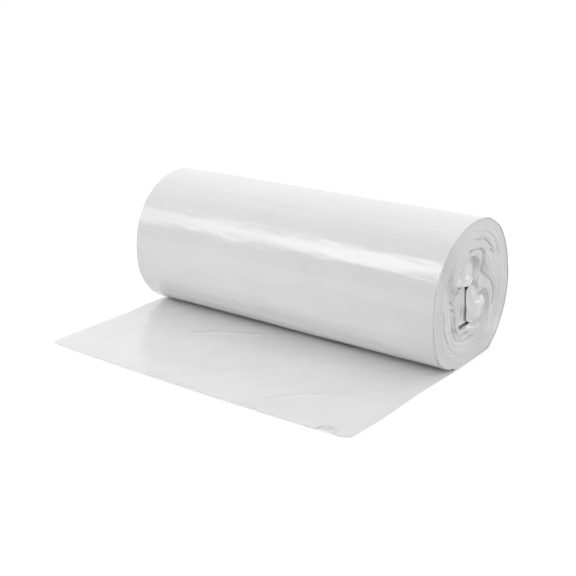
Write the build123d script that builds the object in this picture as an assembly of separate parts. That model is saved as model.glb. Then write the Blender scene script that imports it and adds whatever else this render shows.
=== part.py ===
"""A coreless roll of white bin bags, lying on its own flat spot with the first bag drawn out in front of it.

The bags are one web of thin film, folded lengthwise into a flat strip and joined at perforations. The strip is
wound on itself with no tube. So the whole roll is one solid: the wound turns, with the hollows that are left
where the middle has collapsed, and the end of the first bag, which comes out from under the roll and ends at a
torn perforation.

Frame, in millimetres: X runs along the roll, +Y points to its back, +Z is up. The origin is on the floor under
the roll's axis, halfway along it. The first bag is drawn out towards -Y.
"""

import os
from math import cos, hypot, pi, radians, sin

from build123d import *

# The roll as a whole.
roll_length = 300.0  # the folded strip's width
roll_depth = 120.6  # front to back
roll_height = 115.0  # floor to crown
flat_sag = 7.0  # how far the soft roll has settled below its round form
upper_fullness = 2.1  # exponent of the section above its centre: 2 is an ellipse, more is fuller at the corners
front_fullness = 2.25  # the same below its centre at the front, where the weight has pressed it wider
back_fullness = 2.0  # the same below its centre at the back
floor_softness = 1.0  # how gently the flat spot turns up into the round

# The strip.
web_thickness = 0.6  # the folded plies of one bag, with the air between them

# The first bag, drawn out on the floor. Its torn edge is not quite square to the roll, and bows a little.
bag_reach = 177.0  # from the axis to the middle of the torn edge
bag_slip = 0.8  # how far it lies towards +X of the roll
bag_skew = 5.4  # how much further the +X corner reaches than the middle, before the bow
bag_bow = 2.9  # how far the corners fall short of the middle
corner_radius = 7.0

# The perforation that the edge was torn along: straight cuts, with a nib where each bridge of film gave way.
tear_pitch = 6.0
nib_width = 1.8
nib_height = 0.8

# Groups of turns have drifted along the axis as they were wound. Each line holds one group's outline as a share
# of the section, and how far it has drifted towards +X.
turn_groups = [
    (0.955, -0.7),
    (0.86, 0.5),
    (0.74, -0.9),
    (0.62, -1.6),
]

# The slot in the middle of the collapsed turns. Places are (Y, Z) from the section's centre.
slot_middle = (-11.5, -4.0)
slot_width = 9.5
slot_height = 30.0
slot_lean = 6.0  # degrees that its top leans towards +Y
# Gaps between buckled turns: middle, length, width, and the long axis's angle above +Y in degrees.
lens_gaps = [
    ((-9.5, -21.5), 25.0, 4.2, -4.0),
    ((-1.5, 9.0), 13.0, 4.6, 48.0),
    ((-27.0, 10.0), 12.0, 3.0, -18.0),
    ((16.5, -3.5), 15.0, 3.6, 24.0),
    ((3.0, 26.5), 14.0, 3.2, -30.0),
]

OUTLINE_STEP = 12  # degrees between a section's spline points
CUT_OVERRUN = 5.0  # how far a cutting tool runs past the material

half_length = roll_length / 2
half_depth = roll_depth / 2
centre_height = (roll_height - flat_sag) / 2
half_height = roll_height - centre_height
# The lowest web leaves the floor where the settled section's underside has risen to half the web's thickness.
lift_depth = (floor_softness**2 - web_thickness**2) / (2 * web_thickness)
floor_share = (centre_height + lift_depth) / half_height
flat_reach = half_depth * (1 - floor_share**back_fullness) ** (1 / back_fullness)


def fullness_at(y, side):
    """The section's exponent at a depth, above (side 1) or below (side -1) its centre."""
    if side > 0:
        return upper_fullness
    return front_fullness if y < 0 else back_fullness


def round_height(y, side):
    """The height of the round form's top (side 1) or bottom (side -1) at a depth, before the roll settled."""
    fullness = fullness_at(y, side)
    share = min(abs(y) / half_depth, 1.0)
    return centre_height + side * half_height * (1 - share**fullness) ** (1 / fullness)


def section_point(angle, share):
    """A point of the settled section at an angle above +Y in degrees, with the round form shrunk to a share."""
    c = cos(radians(angle))
    s = sin(radians(angle))
    fullness = fullness_at(c, s)
    radius = (abs(c / half_depth) ** fullness + abs(s / half_height) ** fullness) ** (-1 / fullness)
    y = share * radius * c
    z = centre_height + share * radius * s
    top = round_height(y, 1)
    bottom = round_height(y, -1)
    pressed = (bottom + hypot(bottom, floor_softness)) / 2
    if top - bottom > floor_softness:  # at the front and back the form has no height left to press
        z = top - (top - z) * (top - pressed) / (top - bottom)
    return (y, z)


def turns_face(share):
    """The face inside one turn, seen along the axis."""
    points = [section_point(angle, share) for angle in range(0, 360, OUTLINE_STEP)]
    return make_face(Plane.YZ * Spline(*points, periodic=True))


def along_roll(face, start, end):
    """A section extruded from one place on the axis to another."""
    return extrude(Pos(start, 0, 0) * face, amount=end - start, dir=(1, 0, 0))


def wound_turns():
    """The turns as one solid, with its flat spot inside the lowest web."""
    turns = along_roll(turns_face(1.0), -half_length, half_length)
    under = Box(2 * roll_length, 2 * roll_depth, roll_height, align=(Align.CENTER, Align.CENTER, Align.MAX))
    return turns - Pos(0, 0, web_thickness / 2) * under


def with_drifted_ends(roll):
    """The roll with each group of turns proud at one end and sunk at the other, by how far it has drifted."""
    outer_drift = 0.0
    for share, drift in turn_groups:
        face = turns_face(share)
        for side in (1, -1):
            level = side * half_length + drift
            outer_level = side * half_length + outer_drift
            proud = side * (drift - outer_drift) > 0
            reach = outer_level if proud else outer_level + side * CUT_OVERRUN
            slab = along_roll(face, min(level, reach), max(level, reach))
            roll = roll + slab if proud else roll - slab
        outer_drift = drift
    return roll


def slot_face():
    """The upright slot in the middle of the collapsed turns."""
    place = Plane.YZ * Pos(slot_middle[0], centre_height + slot_middle[1]) * Rot(0, 0, -slot_lean)
    return place * SlotOverall(slot_height, slot_width, rotation=90)


def lens_face(middle, length, width, lean):
    """A gap between two buckled turns: two arcs that meet at its ends."""
    ends = ((-length / 2, 0), (length / 2, 0))
    upper = ThreePointArc(ends[0], (0, width / 2), ends[1])
    lower = ThreePointArc(ends[1], (0, -width / 2), ends[0])
    place = Plane.YZ * Pos(middle[0], centre_height + middle[1]) * Rot(0, 0, lean)
    return place * make_face([upper, lower])


def tear_y(x):
    """Where the torn edge lies at a place along the roll."""
    share = x / half_length
    return -(bag_reach + bag_skew * share - bag_bow * share**2)


def torn_edge():
    """The points of the torn edge from -X to +X, between the rounded corners."""
    length = roll_length - 2 * corner_radius
    count = int(length // tear_pitch)
    points = [(-length / 2, tear_y(-length / 2))]
    for i in range(count):
        x = (i + 0.5 - count / 2) * tear_pitch
        points += [
            (x - nib_width / 2, tear_y(x - nib_width / 2)),
            (x, tear_y(x) - nib_height),
            (x + nib_width / 2, tear_y(x + nib_width / 2)),
        ]
    points.append((length / 2, tear_y(length / 2)))
    return points


def drawn_out_bag():
    """The first bag where it lies flat on the floor, from its torn edge to the back of the flat spot."""
    edge = torn_edge()
    bend = corner_radius * (1 - cos(pi / 4))
    left_side = (-half_length, edge[0][1] + corner_radius)
    right_side = (half_length, edge[-1][1] + corner_radius)
    left_middle = (-half_length + bend, edge[0][1] + bend)
    right_middle = (half_length - bend, edge[-1][1] + bend)
    outline = [
        Polyline(*edge),
        ThreePointArc(edge[-1], right_middle, right_side),
        Polyline(right_side, (half_length, flat_reach), (-half_length, flat_reach), left_side),
        ThreePointArc(left_side, left_middle, edge[0]),
    ]
    return Pos(bag_slip, 0, 0) * extrude(make_face(outline), amount=web_thickness)


def bag_roll():
    """The whole roll as one solid."""
    roll = with_drifted_ends(wound_turns())
    roll += drawn_out_bag()
    through = half_length + CUT_OVERRUN
    roll -= along_roll(slot_face(), -through, through)
    for gap in lens_gaps:
        roll -= along_roll(lens_face(*gap), -through, through)
    return roll


os.makedirs("parts", exist_ok=True)
roll = bag_roll()
export_step(roll, "parts/bag_roll.step")
print("bag_roll:", len(roll.solids()), "solid,", round(roll.volume / 1e3), "cm3,", roll.bounding_box())
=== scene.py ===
"""Looks of a coreless roll of white bin bags, with the first bag drawn out on the floor in front of it.

The roll is one web of folded film. It starts at a torn perforation, lies flat towards the roll, runs
under it, up its back and over its top, and winds inwards turn by turn. Where the mandrel was pulled
out, the innermost turns have buckled into lobes round a narrow slot.

Metres, in the part's own frame: X along the roll, +Y its back, +Z up, and the origin on the floor under
the axis.
"""

import math

import bmesh
import bpy
import numpy as np
from mathutils import Matrix, Vector


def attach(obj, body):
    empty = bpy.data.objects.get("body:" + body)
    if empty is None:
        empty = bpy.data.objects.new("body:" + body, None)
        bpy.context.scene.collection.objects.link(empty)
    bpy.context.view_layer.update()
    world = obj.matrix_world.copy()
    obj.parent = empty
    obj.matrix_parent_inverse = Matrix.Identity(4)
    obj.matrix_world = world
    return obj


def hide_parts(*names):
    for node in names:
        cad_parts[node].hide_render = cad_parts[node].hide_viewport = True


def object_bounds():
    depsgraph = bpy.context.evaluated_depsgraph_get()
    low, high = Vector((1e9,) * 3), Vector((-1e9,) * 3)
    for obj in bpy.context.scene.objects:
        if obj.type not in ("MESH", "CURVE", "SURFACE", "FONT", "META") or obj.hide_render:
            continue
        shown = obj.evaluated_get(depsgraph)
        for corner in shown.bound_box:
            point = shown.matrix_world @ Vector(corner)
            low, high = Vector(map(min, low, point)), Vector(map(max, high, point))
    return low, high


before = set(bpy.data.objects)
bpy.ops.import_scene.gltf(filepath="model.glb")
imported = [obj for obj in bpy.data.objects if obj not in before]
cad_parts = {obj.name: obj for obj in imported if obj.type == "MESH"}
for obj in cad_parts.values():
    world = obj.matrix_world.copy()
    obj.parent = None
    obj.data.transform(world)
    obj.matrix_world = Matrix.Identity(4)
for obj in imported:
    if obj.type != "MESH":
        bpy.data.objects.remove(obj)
cad_low, cad_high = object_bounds()

MM = 0.001

# ---------------------------------------------------------------- sizes

# The roll's section, which is round at first and then settles on a flat spot
HALF_LENGTH = 150 * MM
HALF_DEPTH = cad_high.y
ROLL_HEIGHT = cad_high.z
FLAT_SAG = 7.0 * MM  # how far the soft roll has settled below its round form
CENTRE_HEIGHT = (ROLL_HEIGHT - FLAT_SAG) / 2
HALF_HEIGHT = ROLL_HEIGHT - CENTRE_HEIGHT
FLOOR_SOFTNESS = 1.0 * MM  # how gently the flat spot turns up into the round
LEAST_HEIGHT = 0.25 * MM  # the lowest that a turn lies, on the end of the drawn-out bag

# How full the section is at its corners: 2 is an ellipse, and more is fuller
UPPER_FULLNESS = 2.1
BACK_FULLNESS = 2.0
FRONT_FULLNESS = (2.0, 2.5)  # below the middle of the front, at the -X and the +X end

# The front of the underside, which hangs clear of the drawn-out bag
NIP_LIFT = 2.2 * MM
NIP_LIFT_GROWTH = 0.2  # how much further it hangs clear at the +X end, as a share
NIP_FADE = 9 * MM  # the height over which it fades
NIP_BACK = (-10 * MM, -26 * MM)  # the depths where it begins, and where it is whole
NIP_FRONT = (-62 * MM, -40 * MM)  # the depths where it has ended, and where it is still whole
NIP_SHORTENING = 14 * MM  # how much further forward it begins at the +X end

# A soft crest along the lower front, and the upper back, which is pressed in at the +X end
CREST_HEIGHT = 0.9 * MM
CREST_WIDTH = 10  # in degrees round the roll
BACK_DENT = 1.3 * MM
DENT_ANGLE, DENT_WIDTH = 0.36, 0.34  # in radians above +Y

# The film, and how its turns lie
BAG_THICKNESS = 0.2 * MM  # the folded film of one bag, lying flat
TURN_THICKNESS = 0.5 * MM  # the outermost turn, with the air in its folds
FOLD_THICKNESS = 0.4 * MM
TURN_PITCH = 0.9 * MM / HALF_DEPTH  # as a share of the section's size
TURN_FILL = 0.96  # how much of the pitch the film takes, the rest being air
CORE_SHARE = 0.205  # where the innermost turn ends
OUTER_TURNS = 1.12  # the outermost turn, and its end tucked under itself
OUTER_SPRING = 0.8 * MM  # how far the outermost turn has sprung out
INNER_SPRING = 1.1 * MM  # how far the turns inside it have sprung out, which closes them up to it
RING_SLIP = 2.6 * MM  # how far the outermost turn's +X edge has slipped in, low down on the front
TUCK_DEPTH = 22 * MM  # how far behind the axis the drawn-out bag hands over to the outermost turn

# The drawn-out bag and its torn edge
BAG_REACH = 177 * MM  # from the axis to the middle of the torn edge
BAG_SKEW = 5.4 * MM  # how much further the +X corner reaches than the middle, before the bow
BAG_BOW = 2.9 * MM  # how far the corners fall short of the middle
BAG_CORNER = 7 * MM
BAG_SLIP = 1.0 * MM  # how far the drawn-out bag lies towards +X of the roll
TOOTH_PITCH = 5.2 * MM
TOOTH_DEPTH = 1.0 * MM

# ---------------------------------------------------------------- helpers


def bell(distance, width):
    """A smooth bump that is 1 at no distance and fades over the width."""
    return np.exp(-((distance / width) ** 2))


def smooth(low, high, value):
    """0 below low, 1 above high, and an easy curve between them."""
    share = np.clip((value - low) / (high - low), 0, 1)
    return share * share * (3 - 2 * share)


def ripple(a, b, seed, count=9):
    """Smooth uneven waves over two coordinates, from about -1 to 1, with a wavelength of about 1."""
    rng = np.random.default_rng(seed)
    total = np.zeros(np.broadcast(a, b).shape)
    for _ in range(count):
        turn = rng.uniform(0, 2 * math.pi)
        rate = 2 * math.pi * rng.uniform(0.6, 1.5)
        total += np.sin(rate * (a * math.cos(turn) + b * math.sin(turn)) + rng.uniform(0, 2 * math.pi))
    return total / math.sqrt(count)


def distance_to(line, a, b):
    """How far places in metres are from a bent line, whose points are in millimetres."""
    nearest = np.full(np.broadcast(a, b).shape, np.inf)
    for (a0, b0), (a1, b1) in zip(line, line[1:]):
        da, db = (a1 - a0) * MM, (b1 - b0) * MM
        share = np.clip(((a - a0 * MM) * da + (b - b0 * MM) * db) / (da * da + db * db), 0, 1)
        nearest = np.minimum(nearest, np.hypot(a - a0 * MM - share * da, b - b0 * MM - share * db))
    return nearest


def film_piece(along_steps, across_steps, place, uv_size):
    """A flat grid, with its corners laid where place(along, across) says, which each run from 0 to 1."""
    bm = bmesh.new()
    bmesh.ops.create_grid(bm, x_segments=along_steps, y_segments=across_steps, size=0.5)
    flat = np.array([v.co for v in bm.verts]) + 0.5
    uv = bm.loops.layers.uv.new("film")
    for face in bm.faces:
        face.smooth = True
        for loop in face.loops:
            loop[uv].uv = ((loop.vert.co.x + 0.5) * uv_size[0], (loop.vert.co.y + 0.5) * uv_size[1])
    for vert, spot in zip(bm.verts, place(flat[:, 0], flat[:, 1])):
        vert.co = spot
    for edge in bm.edges:
        edge.smooth = not edge.is_boundary
    return bm


def finished(name, bm, material, wall=None):
    """The piece as an object that stands for the roll's node, with any wall laid inside its faces."""
    mesh = bpy.data.meshes.new(name)
    bm.to_mesh(mesh)
    bm.free()
    mesh.materials.append(material)
    piece = bpy.data.objects.new(name, mesh)
    bpy.context.scene.collection.objects.link(piece)
    if wall:
        solidify = piece.modifiers.new("wall", "SOLIDIFY")
        solidify.thickness = wall
        solidify.offset = -1
        solidify.use_even_offset = False
    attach(piece, "root")
    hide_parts("bag_roll")
    return piece


# ---------------------------------------------------------------- the section of the roll


def fullness_at(y, side, x):
    """The section's exponent at a depth, above or below its centre, at a place along the roll."""
    left, right = FRONT_FULLNESS
    front = left + (right - left) * smooth(-HALF_LENGTH, HALF_LENGTH, x)
    return np.where(side > 0, UPPER_FULLNESS, np.where(y < 0, front, BACK_FULLNESS))


def round_height(y, side, x):
    """The height of the round form's top or bottom at a depth, before the roll settled."""
    fullness = fullness_at(y, side, x)
    share = np.minimum(np.abs(y) / HALF_DEPTH, 1)
    return CENTRE_HEIGHT + side * HALF_HEIGHT * (1 - share**fullness) ** (1 / fullness)


def crest_angle(x):
    """How far round from the top, in degrees, the soft crest lies that runs along the lower front."""
    lowered = 14 * smooth(40 * MM, 140 * MM, x)
    return 113 + lowered + 2.5 * np.sin(x / (21 * MM))


def section(angle, share, x):
    """Depth and height of the settled section at an angle above +Y, its round form shrunk to a share."""
    c, s = np.cos(angle), np.sin(angle)
    fullness = fullness_at(c, s, x)
    radius = (np.abs(c / HALF_DEPTH) ** fullness + np.abs(s / HALF_HEIGHT) ** fullness) ** (-1 / fullness)
    above_back = np.arctan2(s, c)
    dent = BACK_DENT * bell(above_back - DENT_ANGLE, DENT_WIDTH) * smooth(-HALF_LENGTH, HALF_LENGTH, x)
    turned = np.degrees(np.mod(above_back, 2 * math.pi)) - 90
    dent = dent - CREST_HEIGHT * bell(turned - crest_angle(x), CREST_WIDTH)
    y = share * (radius - dent) * c
    z = CENTRE_HEIGHT + share * (radius - dent) * s
    top, bottom = round_height(y, 1, x), round_height(y, -1, x)
    pressed = (bottom + np.hypot(bottom, FLOOR_SOFTNESS)) / 2
    tall = np.maximum(top - bottom, FLOOR_SOFTNESS)
    z = np.where(top - bottom > FLOOR_SOFTNESS, top - (top - z) * (top - pressed) / tall, z)
    short = NIP_SHORTENING * smooth(0.5 * HALF_LENGTH, HALF_LENGTH, x)
    hanging = smooth(NIP_BACK[0] - short, NIP_BACK[1] - short / 2, y) * smooth(*NIP_FRONT, y)
    lift = NIP_LIFT * (1 + NIP_LIFT_GROWTH * smooth(0, HALF_LENGTH, x))
    return y, np.maximum(z, LEAST_HEIGHT) + lift * hanging * np.exp(-z / NIP_FADE)


# How three of the turns lie since the middle has collapsed, each as depths and heights in millimetres,
# from the back over the top. They are pinched at two thirds of the height, into an upper and a lower
# lobe.
PINCHED_TURN = [
    (37.8, 48), (35.5, 55.5), (28, 61), (20.5, 66.5), (16.5, 72), (18.3, 79), (15, 86.5), (4, 90.5),
    (-8, 90.5), (-20, 87.5), (-30, 81), (-36.5, 72), (-38.5, 62), (-37, 50), (-34.5, 38), (-29, 25.5),
    (-19, 20), (-6, 18.5), (8, 18.5), (22, 21), (32, 28), (36.5, 38),
]
LOBED_TURN = [
    (29, 44), (25.5, 51), (18, 54.5), (9.5, 57), (8, 64), (9.5, 71), (9, 79), (3, 84.5),
    (-6, 85.5), (-16, 81), (-24, 75), (-31, 69.5), (-35, 63), (-31, 56), (-27, 47), (-27.5, 36),
    (-24, 28), (-14, 25), (0, 24.5), (14, 26.5), (24, 32), (28.5, 38),
]
SLOT_TURN = [
    (-6.5, 46), (-6.5, 50), (-6, 54), (-5, 58), (-2, 61.5), (1, 65), (-1.5, 66.8), (-5, 66),
    (-9, 65), (-14, 64.6), (-20, 66), (-28, 67.5), (-31.5, 65), (-27, 62.5), (-19, 60), (-17, 48),
    (-18.5, 37), (-20, 32), (-12, 29.5), (-1, 31), (-5, 33), (-7, 37),
]
TURN_SHARES = (0.80, 0.60, 0.40, 0.19)  # where the turns start to give way, and where those three lie
GUIDE_START = math.radians(-8)  # the angle above +Y at which each of the three begins
FAR_RELIEF = 0.3  # how much rounder the middle is at the -X end


def guide_place(guide, angle):
    """Depth and height at an angle on one of those turns, a smooth closed curve through its points."""
    points = np.array(guide) * MM
    count = len(points)
    step = np.mod((angle - GUIDE_START) / (2 * math.pi), 1) * count
    index = np.floor(step).astype(int)
    t = (step - index)[:, None]
    before, start, end, after = (points[(index + k) % count] for k in (-1, 0, 1, 2))
    bent = 2 * start + (end - before) * t + (2 * before - 5 * start + 4 * end - after) * t**2
    place = (bent + (3 * start - before - 3 * end + after) * t**3) / 2
    return place[:, 0], place[:, 1]


def laid_turn(angle, share, x):
    """Depth and height of the turn with a share at an angle, with the middle collapsed."""
    y, z = section(angle, np.maximum(share, TURN_SHARES[0]), x)
    for guide, outer, inner in zip((PINCHED_TURN, LOBED_TURN, SLOT_TURN), TURN_SHARES, TURN_SHARES[1:]):
        way = np.clip((outer - share) / (outer - inner), 0, 1)
        guide_y, guide_z = guide_place(guide, angle)
        y, z = y + (guide_y - y) * way, z + (guide_z - z) * way
    plain_y, plain_z = section(angle, share, x)
    rounder = FAR_RELIEF * smooth(HALF_LENGTH, -HALF_LENGTH, x)
    return y + (plain_y - y) * rounder, z + (plain_z - z) * rounder


# Where the ends are furrowed between turns that stand apart, in millimetres: a bent line of depths and
# heights, and how deep the furrow is
FURROW_WIDTH = 1.1 * MM
END_FURROWS = [
    ([(-2, 100), (8, 99.5), (15, 97.5), (22, 93), (27, 88), (30, 82)], 1.6),
    ([(-12, 92), (3, 91), (12, 89), (16, 85), (15, 78), (12, 71), (8, 62)], 1.7),
    ([(17, 70), (24, 64), (31, 59), (36, 52), (37, 44), (34, 37)], 1.4),
    ([(-37, 57), (-31, 54), (-36, 50.5), (-28, 47)], 1.8),
    ([(-34, 46), (-32, 34), (-25, 23), (-14, 19), (0, 20)], 1.3),
    ([(-28, 42), (-27, 32), (-20, 25), (-6, 24)], 1.6),
    ([(-50, 52), (-48, 36), (-38, 20), (-22, 10)], 0.7),
    ([(-6, 107), (14, 104), (30, 95), (40, 80)], 0.7),
]

# Soft swells and hollows of the ends, in millimetres: the place, its reach in depth and height, and how
# far it stands out
END_SWELLS = [
    ((-34, 78), (10, 8), 0.8),
    ((18, 68), (6, 7), -2.6),
    ((24, 18), (16, 8), 4.0),
    ((26, 34), (9, 7), 2.0),
    ((-54, 88), (16, 20), -3.0),
    ((-30, 52), (7, 9), -1.2),
]


def end_swell(y, z):
    """How far the ends stand out at a place."""
    out = np.zeros_like(y)
    for (middle_y, middle_z), (reach_y, reach_z), height in END_SWELLS:
        far = np.hypot((y / MM - middle_y) / reach_y, (z / MM - middle_z) / reach_z)
        out = out + height * MM * bell(far, 1)
    for line, depth in END_FURROWS:
        out = out - depth * MM * bell(distance_to(line, y, z), FURROW_WIDTH)
    return out


def turn_angle(turns):
    """The angle above +Y after some turns from the middle of the flat spot, up the back first."""
    return 2 * math.pi * turns - math.pi / 2


# How far towards +X the turns' edges stand in millimetres, by the turn's share of the section
EDGE_DRIFT = [
    (0.2, -2.2), (0.6, -1.4), (0.65, -0.8), (0.72, -0.6),
    (0.78, 0), (0.84, 0), (0.9, -0.4), (1, -0.5),
]


def drift(share, turns):
    """How far a turn's edges stand towards +X of where they were meant to."""
    groups = np.interp(share, *zip(*EDGE_DRIFT))
    jitter = 0.08 * np.sin(2.4 * turns) + 0.06 * np.sin(5.9 * turns + 1)
    return (groups + jitter) * MM


SUNK_DEPTH = 9 * MM  # for the edges that the folds hide


def sunk(angle, share):
    """How far the edges behind the upper fold and the side fold stand in from the ends."""
    turned = np.degrees(np.mod(angle - GUIDE_START, 2 * math.pi))
    inner = smooth(0.42, 0.385, share)
    upper = smooth(85, 100, turned) * smooth(218, 200, turned)
    side = smooth(-1, 3, turned) * smooth(70, 55, turned) + smooth(300, 318, turned)
    return SUNK_DEPTH * inner * np.maximum(upper, side)


# ---------------------------------------------------------------- the pieces


STEPS_PER_TURN = 96
WEB_PLACES = np.array([-1, -0.985, -0.9, 0.9, 0.985, 1.0])  # across the web, by half its width


def wound_turns(material):
    """The turns inside the outermost one, as one thick web that winds inwards."""
    first, last = OUTER_TURNS + 0.01, (1 - CORE_SHARE) / TURN_PITCH
    steps = int((last - first) * STEPS_PER_TURN)
    count = len(WEB_PLACES)
    columns = 2 * count
    across_places = np.concatenate([WEB_PLACES, WEB_PLACES[::-1], WEB_PLACES[:1]])
    inner_side = np.concatenate([np.zeros(count), np.ones(count), np.zeros(1)])

    def place(along, across):
        column = np.rint(across * columns).astype(int)
        turns = first + (last - first) * along
        share = 1 - TURN_PITCH * turns + INNER_SPRING / HALF_DEPTH
        angle = turn_angle(turns)
        x = HALF_LENGTH * across_places[column]
        y, z = laid_turn(angle, share, x)
        taper = smooth(0, 0.001, along) * smooth(1, 0.999, along)
        share = share - inner_side[column] * TURN_FILL * taper * TURN_PITCH
        near_end = smooth(0.9, 1, np.abs(x) / HALF_LENGTH)
        out = np.sign(x) * (end_swell(y, z) - sunk(angle, share)) * near_end
        y, z = laid_turn(angle, share, x)
        return np.stack([x + drift(share, turns) + out, y, z], axis=1)

    bm = film_piece(steps, columns, place, (1, 1))
    bmesh.ops.remove_doubles(bm, verts=bm.verts, dist=1e-7)
    bmesh.ops.recalc_face_normals(bm, faces=bm.faces)
    for face in bm.faces:
        face.smooth = False
    return finished("wound_turns", bm, material)


FOLD_RIM = 0.415  # the share of the section at which two of the folds meet the turns round them


def core_fold(name, side, steps, place, material):
    """Film folded across the middle of one end, where place says, and as deep in as it says."""

    def sided(along, across):
        y, z, depth = place(along, across, np.full_like(along, side * HALF_LENGTH))
        return np.stack([side * (HALF_LENGTH - depth * MM), y, z], axis=1)

    bm = film_piece(*steps, sided, (0.03, 0.05))
    bmesh.ops.recalc_face_normals(bm, faces=bm.faces)
    end = "right" if side > 0 else "left"
    return finished(f"{name}_{end}", bm, material, FOLD_THICKNESS)


def upper_fold(along, across, x):
    """The film that closes the upper lobe, sunk under the turns above and standing out at its rim."""
    angle = GUIDE_START + np.radians(84 + 134 * across)
    y, z = laid_turn(angle, FOLD_RIM - 0.215 * along, x)
    middle = 6.5 - 5.0 * along**1.5 - 2.4 * smooth(0.86, 1, along)
    sides = np.sin(math.pi * across) ** 0.4
    depth = middle * sides + (6.5 - 3 * across) * (1 - sides)
    return y, z, depth + 0.3 * ripple(y / (16 * MM), z / (16 * MM), seed=31)


# The furrow where the film of the lower lobe's side is folded on itself, in millimetres
SIDE_FURROW = [(10, 48.5), (16, 50.5), (23, 50), (27, 46)]


def side_fold(along, across, x):
    """The film that closes the back of the lower lobe, with a furrow where it is folded on itself."""
    angle = GUIDE_START + np.radians(-66 + 132 * across)
    y, z = laid_turn(angle, FOLD_RIM - 0.22 * along, x)
    furrow = bell(distance_to(SIDE_FURROW, y, z), 1.5 * MM)
    lobe = np.hypot((y / MM - 10) / 17, (z / MM - 38) / 11)
    depth = 4.2 + 2.6 * furrow - 3.4 * bell(lobe, 1)
    return y, z, depth + 0.25 * ripple(y / (15 * MM), z / (15 * MM), seed=47)


def slot_fold(along, across, x):
    """The film bowed across the slot, grooved along its back half, and open at its foot."""
    y = (-22 + 27 * across) * MM
    tall = 31.5 - 8 * smooth(0.5, 0.8, across)
    z = (32 + tall * along) * MM
    groove = (0.3 + 1.6 * along) * smooth(0.24, 0.42, across)
    depth = 4.3 + 1.6 * smooth(0.2, 0, across) + groove + 0.2 * np.sin(6 * along + 1)
    return y, z, depth


def outer_turn(material):
    """The outermost turn, from under the roll up its back, over its top and down its front."""
    start = math.asin(TUCK_DEPTH / HALF_DEPTH) / (2 * math.pi)

    def place(along, across):
        turns = start + (OUTER_TURNS - start) * along
        angle = turn_angle(turns)
        turned = np.degrees(angle) - 90
        slipped = RING_SLIP * smooth(10, 75, turned) * smooth(150, 138, turned)
        x = -HALF_LENGTH + (2 * HALF_LENGTH - slipped) * across
        arc = angle * HALF_DEPTH
        wrinkle = 0.10 * ripple(x / (120 * MM), arc / (15 * MM), seed=5, count=14)
        wrinkle = wrinkle + 0.045 * ripple(x / (28 * MM), arc / (7 * MM), seed=8, count=14)
        share = 1 - TURN_PITCH * turns + (OUTER_SPRING + wrinkle * MM) / HALF_DEPTH
        y, z = section(angle, share, x)
        return np.stack([x, y, z], axis=1)

    bm = film_piece(420, 110, place, (0.375, 0.3))
    return finished("outer_turn", bm, material, TURN_THICKNESS)


def tear_y(x):
    """Where the torn edge lies at a place along the roll, with the teeth that a perforation leaves."""
    share = x / HALF_LENGTH
    phase = x / TOOTH_PITCH + 0.35 * np.sin(x / (19 * MM)) + 0.2 * np.sin(x / (7.3 * MM) + 1)
    unevenness = 0.7 + 0.3 * np.sin(x / (13 * MM) + 2)
    tooth = TOOTH_DEPTH * (0.5 + 0.5 * np.sin(2 * math.pi * phase)) * unevenness
    return -(BAG_REACH + BAG_SKEW * share - BAG_BOW * share**2) + tooth


# The drawn-out bag's creases, in millimetres: a bent line of places along and across the roll, how high
# the crease stands, and its width
BAG_CREASES = [
    ([(-68, -85), (-49, -68), (-22, -55)], 0.50, 2.6),
    ([(66, -157), (76, -142), (95, -127)], 0.35, 2.4),
    ([(-117, -159), (-95, -127)], 0.35, 2.4),
]
LEAST_BAG_HEIGHT = 0.03  # in millimetres


def bag_height(x, y):
    """How high the drawn-out bag's underside lies above the floor."""
    high = 0.35 + 0.3 * ripple(x / (75 * MM), y / (60 * MM), seed=21)
    high = high + 0.05 * ripple(x / (22 * MM), y / (30 * MM), seed=22)
    for line, height, width in BAG_CREASES:
        high = high + height * bell(distance_to(line, x, y), width * MM)
    edge = np.minimum(HALF_LENGTH - np.abs(x), y - tear_y(x))
    curl = 3.0 * bell(x - 130 * MM, 5.5 * MM) * bell(y + 178 * MM, 5 * MM)
    ruffle = 0.35 * (1 + ripple(x / (13 * MM), y / (40 * MM), seed=25)) * bell(y - tear_y(x), 5 * MM)
    clear_of_roll = smooth(-22 * MM, -48 * MM, y)
    high = high * smooth(-2 * MM, 12 * MM, edge) * clear_of_roll + ruffle + curl
    return np.maximum(high, LEAST_BAG_HEIGHT) * MM


ROWS_TO_EDGE = 1.25  # how much closer together the grid's rows are at the torn edge


def first_bag(material):
    """The drawn-out bag, from its torn edge to where the outermost turn goes on, under the roll."""

    def place(along, across):
        along = along**ROWS_TO_EDGE
        x = HALF_LENGTH * (2 * across - 1)
        y = tear_y(x) + along * (TUCK_DEPTH - tear_y(x))
        short = np.clip(BAG_CORNER - (y - tear_y(x)), 0, BAG_CORNER)
        inset = BAG_CORNER - np.sqrt(BAG_CORNER**2 - short**2)
        bulge = 1.1 * bell(y + 52 * MM, 14 * MM) * (across < 0.5)
        wave = (0.5 * np.sin(y / (17 * MM)) - bulge) * MM
        inset = inset + wave * smooth(0.6, 1, np.abs(2 * across - 1))
        x = x * (1 - inset / HALF_LENGTH) + BAG_SLIP
        z = BAG_THICKNESS + bag_height(x, y)
        return np.stack([x, y, z], axis=1)

    bm = film_piece(116, 400, place, (0.2, 0.3))
    bmesh.ops.reverse_faces(bm, faces=bm.faces)
    bag = finished("first_bag", bm, material, BAG_THICKNESS)
    return bag


# ---------------------------------------------------------------- materials


FILM_TONES = (0.83, 0.90)  # its darker and its lighter clouds
CLOUD_SCALE = 28
WRINKLE_SCALE = (20, 130, 130)  # longer along the roll than round it


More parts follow.
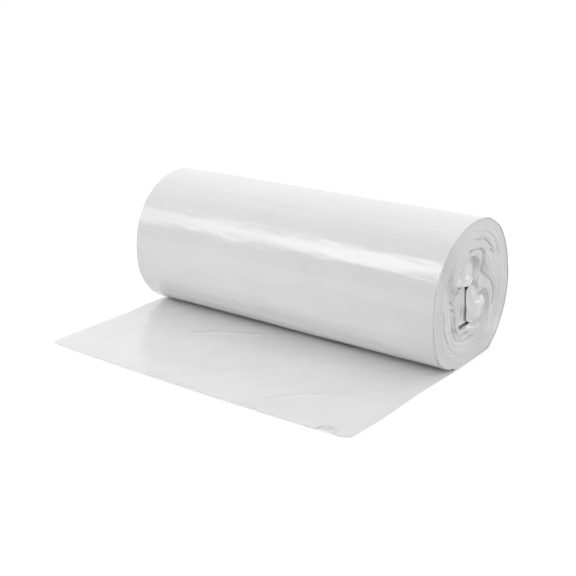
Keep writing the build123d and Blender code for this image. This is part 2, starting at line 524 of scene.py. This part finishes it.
def white_film():
    """White film, satin and a little uneven, with fine wrinkles along the roll."""
    material = bpy.data.materials.new("white_film")
    material.use_nodes = True
    nodes, links = material.node_tree.nodes, material.node_tree.links
    shader = nodes["Principled BSDF"]
    shader.inputs["Roughness"].default_value = 0.22
    shader.inputs["Specular IOR Level"].default_value = 0.6
    shader.inputs["Coat Weight"].default_value = 0.6
    shader.inputs["Coat Roughness"].default_value = 0.17
    place = nodes.new("ShaderNodeTexCoord")
    cloud = nodes.new("ShaderNodeTexNoise")
    cloud.inputs["Scale"].default_value = CLOUD_SCALE
    cloud.inputs["Detail"].default_value = 3
    links.new(place.outputs["Object"], cloud.inputs["Vector"])
    tone = nodes.new("ShaderNodeValToRGB")
    for element, grey in zip(tone.color_ramp.elements, FILM_TONES):
        element.color = (grey, grey, grey, 1)
    links.new(cloud.outputs["Fac"], tone.inputs["Fac"])
    links.new(tone.outputs["Color"], shader.inputs["Base Color"])
    stretch = nodes.new("ShaderNodeMapping")
    stretch.inputs["Scale"].default_value = WRINKLE_SCALE
    links.new(place.outputs["Object"], stretch.inputs["Vector"])
    wrinkles = nodes.new("ShaderNodeTexNoise")
    wrinkles.inputs["Scale"].default_value = 1
    wrinkles.inputs["Detail"].default_value = 4
    wrinkles.inputs["Roughness"].default_value = 0.6
    links.new(stretch.outputs["Vector"], wrinkles.inputs["Vector"])
    bump = nodes.new("ShaderNodeBump")
    bump.inputs["Strength"].default_value = 0.35
    bump.inputs["Distance"].default_value = 0.0006
    links.new(wrinkles.outputs["Fac"], bump.inputs["Height"])
    links.new(bump.outputs["Normal"], shader.inputs["Normal"])
    links.new(bump.outputs["Normal"], shader.inputs["Coat Normal"])
    return material


FLOOR_GREY = 0.55
FLOOR_GLOW = 0.62  # for what is seen or mirrored, and not as light on the roll


def pale_floor():
    """A floor that keeps a soft shadow, and looks white where nothing shades it."""
    material = bpy.data.materials.new("pale_floor")
    material.use_nodes = True
    nodes, links = material.node_tree.nodes, material.node_tree.links
    nodes.remove(nodes["Principled BSDF"])
    matt = nodes.new("ShaderNodeBsdfDiffuse")
    matt.inputs["Color"].default_value = (FLOOR_GREY, FLOOR_GREY, FLOOR_GREY, 1)
    seen = nodes.new("ShaderNodeLightPath")
    either = nodes.new("ShaderNodeMath")
    either.operation = "MAXIMUM"
    links.new(seen.outputs["Is Camera Ray"], either.inputs[0])
    links.new(seen.outputs["Is Glossy Ray"], either.inputs[1])
    clear = nodes.new("ShaderNodeMath")
    clear.operation = "MAXIMUM"
    links.new(either.outputs[0], clear.inputs[0])
    links.new(seen.outputs["Is Transmission Ray"], clear.inputs[1])
    glow = nodes.new("ShaderNodeEmission")
    strength = nodes.new("ShaderNodeMath")
    strength.operation = "MULTIPLY"
    strength.inputs[1].default_value = FLOOR_GLOW
    links.new(clear.outputs[0], strength.inputs[0])
    links.new(strength.outputs[0], glow.inputs["Strength"])
    both = nodes.new("ShaderNodeAddShader")
    links.new(matt.outputs[0], both.inputs[0])
    links.new(glow.outputs[0], both.inputs[1])
    links.new(both.outputs[0], nodes["Material Output"].inputs["Surface"])
    return material


# ---------------------------------------------------------------- the studio


FLOOR_REACH = 6.0  # to each side
FULL_SPREAD = 180  # in degrees, where a lamp's light isn't narrowed


def studio_floor():
    """A wide plain floor."""
    bm = bmesh.new()
    bmesh.ops.create_grid(bm, x_segments=1, y_segments=1, size=FLOOR_REACH)
    mesh = bpy.data.meshes.new("floor")
    bm.to_mesh(mesh)
    bm.free()
    mesh.materials.append(pale_floor())
    floor = bpy.data.objects.new("floor", mesh)
    bpy.context.scene.collection.objects.link(floor)


def softbox(name, place, aim, size, radiance, long_side=(1, 0, 0), spread=FULL_SPREAD):
    """A rectangular lamp, its long side turned along a direction, its spread of light in degrees."""
    data = bpy.data.lights.new(name, "AREA")
    data.shape = "RECTANGLE"
    data.size, data.size_y = size
    data.spread = math.radians(spread)
    half = math.radians(spread) / 2
    focus = 1 if spread == FULL_SPREAD else math.tan(half) / (math.tan(half) - half)
    data.energy = radiance * math.pi * size[0] * size[1] / focus
    lamp = bpy.data.objects.new(name, data)
    bpy.context.scene.collection.objects.link(lamp)
    back = (Vector(place) - Vector(aim)).normalized()
    right = (Vector(long_side) - back * Vector(long_side).dot(back)).normalized()
    turned = Matrix((right, back.cross(right), back)).transposed()
    lamp.matrix_world = Matrix.Translation(place) @ turned.to_4x4()


DIFFUSE_LEVEL = 0.69  # the strength of the surroundings as light on the roll
MIRRORED_LEVELS = (0.5, 1.0)  # their strength where film mirrors them, from the front to the back
MIRRORED_FADE = (-0.3, 0.6)  # the directions between which it changes, by their share of +Y


def studio_world():
    """Surroundings that are white to the eye, and fade towards the front where film mirrors them."""
    world = bpy.data.worlds.new("studio")
    bpy.context.scene.world = world
    world.use_nodes = True
    nodes, links = world.node_tree.nodes, world.node_tree.links
    seen = nodes.new("ShaderNodeLightPath")
    direction = nodes.new("ShaderNodeTexCoord")
    axes = nodes.new("ShaderNodeSeparateXYZ")
    links.new(direction.outputs["Generated"], axes.inputs[0])
    mirrored = nodes.new("ShaderNodeMapRange")
    mirrored.interpolation_type = "SMOOTHSTEP"
    mirrored.inputs["From Min"].default_value = MIRRORED_FADE[0]
    mirrored.inputs["From Max"].default_value = MIRRORED_FADE[1]
    mirrored.inputs["To Min"].default_value = MIRRORED_LEVELS[0]
    mirrored.inputs["To Max"].default_value = MIRRORED_LEVELS[1]
    links.new(axes.outputs["Y"], mirrored.inputs["Value"])
    glossy = nodes.new("ShaderNodeMapRange")
    glossy.inputs["To Min"].default_value = DIFFUSE_LEVEL
    links.new(seen.outputs["Is Glossy Ray"], glossy.inputs["Value"])
    links.new(mirrored.outputs["Result"], glossy.inputs["To Max"])
    clear = nodes.new("ShaderNodeMath")
    clear.operation = "MAXIMUM"
    links.new(seen.outputs["Is Camera Ray"], clear.inputs[0])
    links.new(seen.outputs["Is Transmission Ray"], clear.inputs[1])
    strength = nodes.new("ShaderNodeMapRange")
    strength.inputs["To Max"].default_value = 1.0
    links.new(clear.outputs[0], strength.inputs["Value"])
    links.new(glossy.outputs["Result"], strength.inputs["To Min"])
    links.new(strength.outputs["Result"], nodes["Background"].inputs["Strength"])
    nodes["Background"].inputs["Color"].default_value = (1, 1, 1, 1)


CAMERA_PLACE = (0.5479, -0.8032, 0.3552)
CAMERA_TILT, CAMERA_HEADING = 71.553, 35.694  # in degrees, up from straight down and round from +Y
CAMERA_LENS = 74.75  # in millimetres, on a 36 mm sensor


def camera():
    """The camera, looking down on the roll from its front right."""
    data = bpy.data.cameras.new("camera")
    data.sensor_width = 36
    data.lens = CAMERA_LENS
    data.clip_end = 50
    eye = bpy.data.objects.new("camera", data)
    bpy.context.scene.collection.objects.link(eye)
    eye.location = CAMERA_PLACE
    eye.rotation_euler = (math.radians(CAMERA_TILT), 0, math.radians(CAMERA_HEADING))
    bpy.context.scene.camera = eye


# ---------------------------------------------------------------- the scene

film = white_film()
wound_turns(film)
for side in (1, -1):
    core_fold("upper_fold", side, (40, 64), upper_fold, film)
    core_fold("side_fold", side, (48, 72), side_fold, film)
    core_fold("slot_fold", side, (40, 32), slot_fold, film)
outer_turn(film)
first_bag(film)

studio_floor()
studio_world()
softbox(
    "strip_light",
    place=(-0.842, -1.002, 0.883),
    aim=(-0.174, 0.037, 0.006),
    size=(0.95, 0.56),
    radiance=4.8,
    long_side=(0.8275, -0.4154, 0.3777),
    spread=47,
)
softbox("top_light", place=(0.5, 0.6, 1.7), aim=(0, 0, 0), size=(2, 2), radiance=0.55)
softbox("back_light", place=(0.62, 1.55, 0.2), aim=(0.15, 0, 0.05), size=(0.9, 0.4), radiance=1.4)
camera()

scene = bpy.context.scene
scene.view_settings.view_transform = "Standard"
